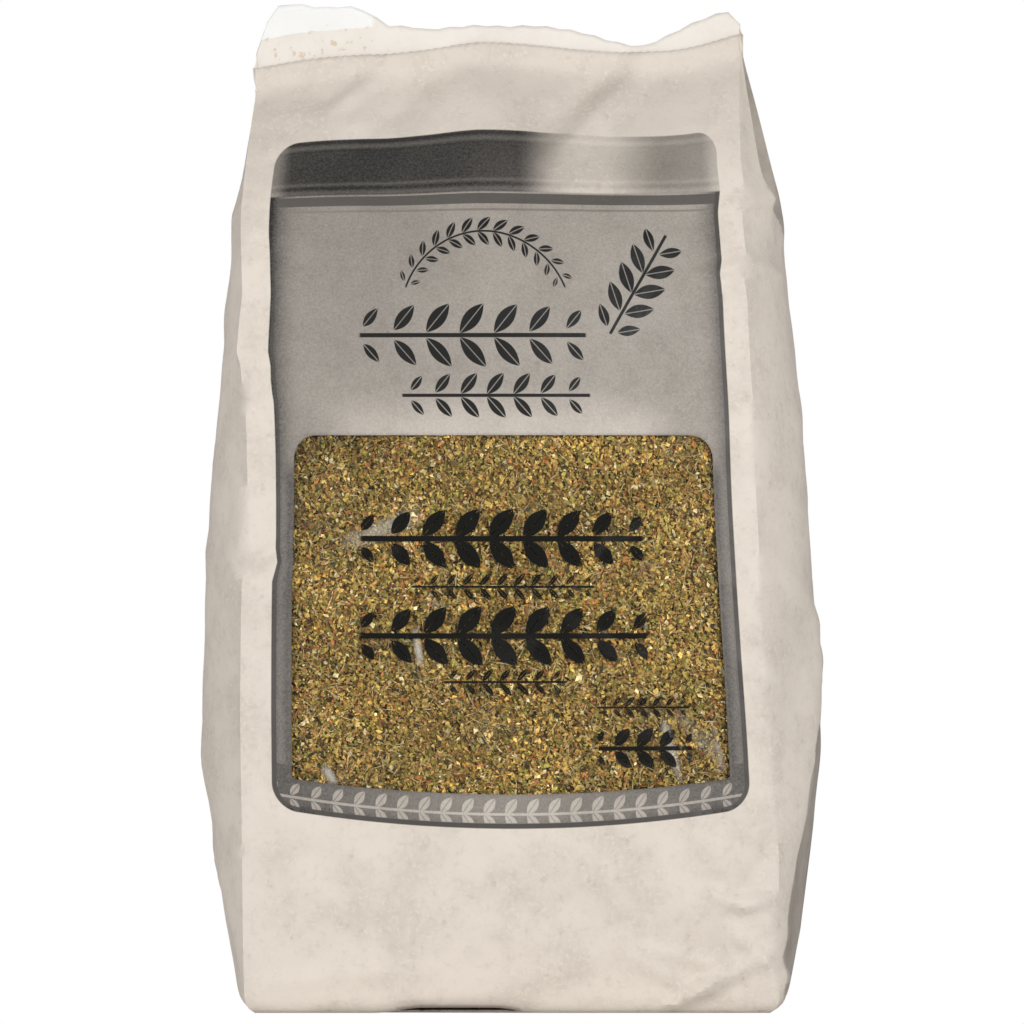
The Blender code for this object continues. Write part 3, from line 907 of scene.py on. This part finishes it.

# %% [markdown]
# Above the seal one sees the inside of the back ply. It is creamier than the outside, with a corner
# painted near-white as a highlight where the lip bends back, and a few tan scuffs. The paper's relief
# is fine: grain, fibres and faint polygons of crumple. Displacing the mesh so finely would take
# millions of faces, so this relief is a bump.

# %% The paper's finish
printed = ink.mix(bare, rgb(0.030, 0.0285, 0.0275))
printed = black.mix(printed, rgb(0.011, 0.0105, 0.010))
back_ply = u_mm.step(84.0, 100.0) * v_mm.step(185.0, 185.6)
cream = (clouds.step(0.4, 0.65) * 0.6).mix(rgb(0.865, 0.81, 0.745), rgb(0.80, 0.735, 0.65))
# painted highlight: the bent corner of the lip is painted near-white, as where it catches the light
lip_highlight = (v_mm - clouds * 1.6).step(194.6, 194.9) * u_mm.step(184.5, 185.2)
cream = lip_highlight.mix(cream, rgb(0.93, 0.925, 0.905))
tan = (specks.step(0.60, 0.68) * u_mm.step(176.0, 190.0)) * v_mm.step(197.5, 194.0)
cream = (tan * 0.65).mix(cream, rgb(0.66, 0.50, 0.31))
plug(tree, back_ply.mix(printed, cream), shader, "Base Color")
plug(tree, 0.56 + stain * 0.08 - ink * 0.12, shader, "Roughness")
grain = noise_at(place, 260.0, 5.0, 0.65)
crumple = place.node("ShaderNodeTexVoronoi", {"feature": "DISTANCE_TO_EDGE"},
                     {"Vector": place, "Scale": 70.0})
relief = grain * 0.40 + fibres * 0.10 + crumple.low(0.16) * 1.2
bump = relief.node("ShaderNodeBump", inputs={"Height": relief, "Strength": 0.5, "Distance": 0.0008})
plug(tree, bump, shader, "Normal")
shader.inputs["Specular IOR Level"].default_value = 0.32
bag.data.materials.append(paper)
print(paper.name, "has", len(tree.nodes), "nodes")

# %% [markdown]
# The window is a sheet of clear film glued to the inside of the paper. It is almost invisible, except
# where it catches a light or where black ink is printed on it. A glass shader could stand for it, but
# it would bend and darken what lies behind, which such thin film doesn't. So it is a mix of a
# see-through and a glossy shader. The share of gloss rises where the film turns away and where it is
# printed, and along a few lines near its wrinkles it is raised into pale streaks of painted highlight.

# %% The film
FILM_LAP = 4.2
FILM_BEHIND = 0.42
FILM_WALL = 0.06
FILM_WRINKLES = [
    ((-19, 80), (-17, 68), 0.5, 1.3), ((27, 78), (25, 66), 0.4, 1.3),
    ((30, 56), (36, 47), 0.5, 1.6), ((38, 60), (41, 48), 0.5, 1.5),
    ((-36, 50), (-31, 46), 0.4, 1.2), ((-30, 88), (-22, 92), 0.3, 1.2),
    ((4, 84), (6, 70), 0.3, 1.2), ((32, 104), (38, 98), 0.4, 1.3), ((14, 66), (22, 61), 0.3, 1.2),
    ((-10, 58), (-2, 55), 0.3, 1.3), ((-38, 108), (-30, 100), 0.3, 1.5),
    ((36, 74), (41, 66), 0.4, 1.2),
]
# painted highlights: pale streaks on the film, each with two ends, how far it reaches and how strong it
# is
HIGHLIGHT_STREAKS = [
    ((-33, 91.5), (-16, 98), 2.6, 0.34),
    ((-17.5, 76), (-16.5, 68), 1.0, 0.55), ((-16, 82), (-11, 79), 1.6, 0.30),
    ((27, 79), (28.5, 75), 0.8, 0.35), ((30.5, 58), (33.5, 45), 1.3, 0.55),
    ((33, 60), (42, 49), 2.4, 0.22), ((40, 58), (41.8, 47), 1.0, 0.40),
    ((-36, 49), (-33.5, 45), 1.2, 0.50),
]


def window_grid(columns, rows, margin):
    """A flat grid over the window and a margin round it, on the flat sheet: the mesh, its u and its z."""
    made = bmesh.new()
    bmesh.ops.create_grid(made, x_segments=columns, y_segments=rows, size=1)
    corner = np.array([vert.co for vert in made.verts])
    low = WINDOW_BOTTOM - WINDOW_SAG - margin
    z = low + (corner[:, 1] + 1) / 2 * (WINDOW_TOP + margin - low)
    u = WINDOW_MIDDLE + corner[:, 0] * (WINDOW_HALF_WIDTH + margin)
    return made, u, z


def behind_panel(u, z, depth, lift):
    """Places a depth behind the front panel's face, in metres."""
    x, y, _ = bag_points(u, z)
    return np.stack(settled(x + crease_wander(u, z), y + depth - lift, z), axis=1) * MM


mesh, film_u, film_z = window_grid(96, 76, FILM_LAP)
film_lift = paper_lift(film_u, film_z)
inside = 1 - ease(-4, 0, window_radius(film_u, film_z))
film_lift += crease_lift(FILM_WRINKLES, film_u, film_z) * inside
film_points = behind_panel(film_u, film_z, FILM_BEHIND, film_lift)
mark_flat(mesh, film_u, film_z)
for vert, point in zip(mesh.verts, film_points):
    vert.co = point
for face in mesh.faces:
    face.smooth = True
if sum(face.normal.y for face in mesh.faces) > 0:
    bmesh.ops.reverse_faces(mesh, faces=mesh.faces)
film = as_piece("clear_film", mesh, "window_film")
thickness = film.modifiers.new("Thickness", "SOLIDIFY")
thickness.thickness = FILM_WALL * MM
thickness.offset = -1
print("film of", len(film.data.polygons), "faces")

# %% The film's material
clear, tree, shader, place = new_material("clear_film")
u_mm, v_mm = flat_place(tree)

# two equal rows, each as far from the line between them
rows = twig(u_mm, (v_mm - 83.7).size() - 9.5, middle=0.0, reach=28.0, pitch=6.8, leaf=(3.7, 1.75),
            offset=3.0, slant=0.85, stem=0.50)
fine_reach = v_mm.step(74.0, 75.0, 12.0, 18.0)
fine_rows = twig(u_mm, (v_mm - 74.5).size() - 9.3, middle=0.0, reach=fine_reach, pitch=3.4,
                 leaf=(1.7, 0.5), offset=1.4, slant=0.85, stem=0.16)
small_row = twig(u_mm, v_mm - 60.2, middle=26.8, reach=9.0, pitch=2.6, leaf=(1.3, 0.42), offset=1.1,
                 slant=0.85, stem=0.14)
corner_row = twig(u_mm, v_mm - 52.2, middle=26.8, reach=9.0, pitch=4.5, leaf=(2.5, 1.15), offset=2.1,
                  slant=0.85, stem=0.36)
film_ink = rows.high(fine_rows).high(small_row).high(corner_row)
print("ink on the film")

# %% Painted highlights and haze


def highlight_streak(start, end, reach):
    """A painted highlight: a pale streak along a line on the film, strongest in the middle of it."""
    middle_u, middle_v = (start[0] + end[0]) / 2, (start[1] + end[1]) / 2
    du, dv = (end[0] - start[0]) / 2, (end[1] - start[1]) / 2
    half = math.hypot(du, dv)
    along = (u_mm - middle_u) * (du / half**2) + (v_mm - middle_v) * (dv / half**2)
    across = (u_mm - middle_u) * (dv / half) - (v_mm - middle_v) * (du / half)
    return across.size().step(reach, 0.0) * (1.0 - along * along).high(0.0)


# painted highlights: where the streaks cross, the strongest one is kept
painted_highlights = None
for start, end, reach, strength in HIGHLIGHT_STREAKS:
    streak_highlight = highlight_streak(start, end, reach) * strength
    painted_highlights = streak_highlight if painted_highlights is None else painted_highlights.high(streak_highlight)
smear = noise_at(place, 75.0, 5.0, 0.65)
frayed = smear.step(0.38, 0.60)
painted_highlights = painted_highlights * (0.15 + frayed * 0.6)
# the pale colour is that of the film's gloss share, which the painted highlights raise
film_colour = film_ink.step(0.0, 0.1).mix(rgb(0.80, 0.78, 0.70), rgb(0.010, 0.010, 0.009))
plug(tree, film_colour, shader, "Base Color")
plug(tree, 0.10 + smear * 0.08, shader, "Roughness")
shader.inputs["Specular IOR Level"].default_value = 0.25
facing_away = film_ink.node("ShaderNodeLayerWeight", inputs={"Blend": 0.18}, output=1)
share = 0.004 + facing_away * 0.22 + smear.step(0.56, 0.84) * 0.05 + painted_highlights
share = share.high(film_ink * 0.99).low(1.0)
through = tree.nodes.new("ShaderNodeBsdfTransparent")
blend = tree.nodes.new("ShaderNodeMixShader")
tree.links.new(share.socket, blend.inputs[0])
tree.links.new(through.outputs[0], blend.inputs[1])
tree.links.new(shader.outputs[0], blend.inputs[2])
tree.links.new(blend.outputs[0], tree.nodes["Material Output"].inputs["Surface"])
film.data.materials.append(clear)
print(clear.name, "has", len(tree.nodes), "nodes")

# %% [markdown]
# Rubbed marjoram is thousands of small curled scraps of leaf, with some pale bits of stalk. A noise
# pattern on a flat face could stand for it, but real scraps shade one another and show their edges.
# So each scrap here is one cell of a grid: the grid is split into loose squares, each square is poked
# to give it a middle point, and then every square is shrunk, stretched, curled and turned at random
# and laid against the film. A layer of fine scraps lies in front and a layer of broader ones behind
# it. The solid herb behind both fills the gaps and gets a dark crumbly finish, which is partly the
# herb's own brown and partly painted shade for the gaps between the scraps.

# %% Scraps of leaf and bits of stalk
# The palest shade is partly pale bits of leaf and partly painted highlight: tiny pale scraps stand for
# glints on the herb.
HERB_COLOURS = [
    (0.28, (0.80, 0.54, 0.140)), (0.46, (0.64, 0.45, 0.110)), (0.64, (0.43, 0.38, 0.080)),
    (0.79, (0.50, 0.25, 0.065)), (0.88, (0.98, 0.82, 0.45)), (0.93, (0.62, 0.25, 0.070)),
    (1.00, (0.090, 0.065, 0.018)),
]


def draw_leaf(draw, smallest, growth, slimmest, light):
    """A scrap of leaf drawn at random: half its length and width, its lean, its curl and its colour."""
    length = smallest + growth * draw.random() ** 3.0
    width = length * draw.uniform(slimmest, slimmest + 0.45)
    pick = draw.random()
    colour = Vector(next(colour for limit, colour in HERB_COLOURS if pick <= limit))
    # brightness at random; the rare much brighter scraps are partly the herb's own tone and partly
    # painted highlights
    colour *= light * (draw.uniform(0.30, 1.28) + 0.9 * draw.random() ** 7)
    return length, width, draw.uniform(-0.8, 0.8), draw.uniform(-0.6, 0.3) * length, colour


def draw_stalk(draw, light):
    """A bit of stalk, with the same measures as a leaf: long, thin, pale and nearly straight."""
    colour = light * Vector((0.76, 0.58, 0.28) if draw.random() < 0.65 else (0.56, 0.27, 0.10))
    length, width, lean = draw.uniform(0.6, 2.1), draw.uniform(0.06, 0.13), draw.uniform(-0.25, 0.25)
    return length, width, lean, -0.08, colour


print(len(HERB_COLOURS), "shades of leaf")

# %% Two layers of herb
SCRAP_COLUMNS = 226
SCRAP_ROWS = 190
HERB_MARGIN = 2.0
NEAREST = 0.60
RAGGED = 0.22
DARK_CORNER = (-43, 112)


def herb_layer(name, seed, depths, smallest, growth, slimmest, stalks, light):
    """Loose scraps laid at random behind the film, between two depths from the front panel's face."""
    mesh = bmesh.new()
    tint = mesh.verts.layers.float_color.new("leaf")
    bmesh.ops.create_grid(mesh, x_segments=SCRAP_COLUMNS, y_segments=SCRAP_ROWS, size=1)
    bmesh.ops.split_edges(mesh, edges=mesh.edges)
    middles = bmesh.ops.poke(mesh, faces=mesh.faces)["verts"]
    draw = random.Random(seed)
    low = WINDOW_BOTTOM - WINDOW_SAG - HERB_MARGIN
    order, places = [], []
    for middle in middles:
        stalk = draw.random() < stalks
        if stalk:
            length, width, lean, curl, colour = draw_stalk(draw, light)
        else:
            length, width, lean, curl, colour = draw_leaf(draw, smallest, growth, slimmest, light)
        tilt = draw.uniform(-0.8, 0.8) * width
        turn = draw.uniform(0, 2 * math.pi)
        at_u = WINDOW_MIDDLE + draw.uniform(-1, 1) * (WINDOW_HALF_WIDTH + HERB_MARGIN) * 1.03
        at_z = draw.uniform(low, WINDOW_TOP + HERB_MARGIN)
        colour *= 1 + 0.30 * noise.noise((at_u / 13, at_z / 13, 4.0))
        colour *= 0.62 + 0.38 * min(math.dist((at_u, at_z), DARK_CORNER) / 24, 1.0)
        depth = depths[0] + draw.random() * (depths[1] - depths[0]) * (0.15 if stalk else 1.0)
        own = middle.co.copy()
        for vert in [middle] + [edge.other_vert(middle) for edge in middle.link_edges]:
            step = vert.co - own
            corner = vert is not middle
            right, up = math.copysign(1, step.x), math.copysign(1, step.y)
            along = corner * (right + up) / 2 + draw.uniform(-RAGGED, RAGGED)
            across = corner * (right - up) / 2 + draw.uniform(-RAGGED, RAGGED)
            behind = depth + along * lean * length + across * tilt + (0.0 if corner else curl)
            order.append(vert)
            places.append((at_u + along * length * math.cos(turn) - across * width * math.sin(turn),
                           at_z + along * length * math.sin(turn) + across * width * math.cos(turn),
                           max(NEAREST, behind)))
            vert[tint] = (*(colour * draw.uniform(0.9, 1.1)), 1.0)
    scrap_u, scrap_z, scrap_depth = np.array(places).T
    scrap_points = behind_panel(scrap_u, scrap_z, scrap_depth, paper_lift(scrap_u, scrap_z))
    for vert, point in zip(order, scrap_points):
        vert.co = point
    return as_piece(name, mesh, None)


herb_layers = [
    herb_layer("herb_scraps", 29, depths=(0.66, 1.7), smallest=0.24, growth=0.62, slimmest=0.30,
               stalks=0.04, light=1.00),
    herb_layer("herb_flakes", 31, depths=(1.3, 2.7), smallest=0.32, growth=0.75, slimmest=0.40,
               stalks=0.02, light=0.88),
]
for layer in herb_layers:
    print(layer.name, "has", len(layer.data.polygons), "faces")

# %% [markdown]
# Dried leaf is matt, and no two scraps have the same green or brown. A material for each shade would
# do, but here each scrap carries its own colour as an attribute of its points, so one material serves
# them all. Veins and a fine bump break it up. The solid herb behind takes its tone from small cells.

# %% The herb's materials
leafy, tree, shader, place = new_material("dried_leaf")
leaf_colour = Wire(tree, tree.nodes.new("ShaderNodeVertexColor").outputs["Color"])
leaf_colour.socket.node.layer_name = "leaf"
vein = noise_at(place, 1800.0, 3.0, 0.6)
darker = leaf_colour.node("ShaderNodeMix", {"data_type": "RGBA", "blend_type": "MULTIPLY"},
                          {0: 1.0, 6: leaf_colour, 7: rgb(0.62, 0.58, 0.52)}, output=2)
plug(tree, vein.step(0.36, 0.62).mix(darker, leaf_colour), shader, "Base Color")
plug(tree, 0.66 + vein * 0.2, shader, "Roughness")
leaf_bump = vein.node("ShaderNodeBump", inputs={"Height": vein, "Strength": 0.4, "Distance": 0.0002})
plug(tree, leaf_bump, shader, "Normal")
for layer in herb_layers:
    layer.data.materials.append(leafy)

crumb, tree, shader, place = new_material("herb_crumb")
bits = place.node("ShaderNodeTexVoronoi", inputs={"Vector": place, "Scale": 900.0})
tone = Wire(tree, bits.socket.node.outputs["Color"]).node("ShaderNodeSeparateColor", inputs={
    0: Wire(tree, bits.socket.node.outputs["Color"])})
# darker than the scraps: partly the herb's own brown, partly painted shade in the gaps between them
crumb_colour = tone.node("ShaderNodeValToRGB", {"stops": [
    (0.0, (0.05, 0.036, 0.012)), (0.35, (0.14, 0.105, 0.032)), (0.65, (0.26, 0.19, 0.06)),
    (1.0, (0.40, 0.29, 0.10))]}, {0: tone})
plug(tree, crumb_colour, shader, "Base Color")
plug(tree, 0.75 + tone * 0.15, shader, "Roughness")
crumb_bump = bits.node("ShaderNodeBump", inputs={"Height": bits, "Strength": 0.8, "Distance": 0.0005})
plug(tree, crumb_bump, shader, "Normal")
herb_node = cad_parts["dried_marjoram"]
for slot in herb_node.material_slots:
    slot.material = crumb
print("herb finished")

# %% [markdown]
# At the end the dressed bag's box is set beside the solid model's. They should agree within the height
# of a crease.

# %% Sizes, and the end
dressed_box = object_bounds()
for name, box in (("model", cad_box), ("dressed", dressed_box)):
    print(name, [[round(v / MM, 2) for v in corner] for corner in box])
